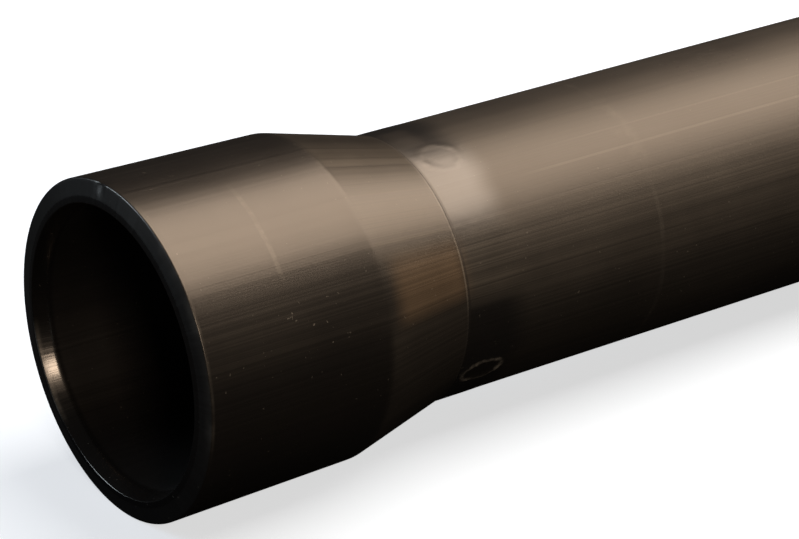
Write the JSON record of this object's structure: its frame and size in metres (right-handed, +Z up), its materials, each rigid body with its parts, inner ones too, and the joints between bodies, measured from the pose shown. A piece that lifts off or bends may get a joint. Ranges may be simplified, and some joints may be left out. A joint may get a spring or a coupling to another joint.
{
  "type": "socketed polyethylene pipe",
  "caption": "Black polyethylene pipe with a wide belled socket, a cone down to the barrel and a plain spigot end; pushes together end to end to carry water or cables.",
  "frame": {"origin": "centre of the socket's seat, on the pipe's axis, where a pushed-in pipe stops", "axes": "the mouth is on the -X side and the spigot end on the +X side; the axis dips 1.26 degrees towards the spigot end, because the pipe lies on a level floor on the socket's rim and the spigot end; +Z up"},
  "size_m": [0.5863, 0.1352, 0.1356],
  "materials": {
    "black_polyethylene": "satin"
  },
  "bodies": {
    "root": {"pipe": "black_polyethylene"}
  },
  "joints": []
}
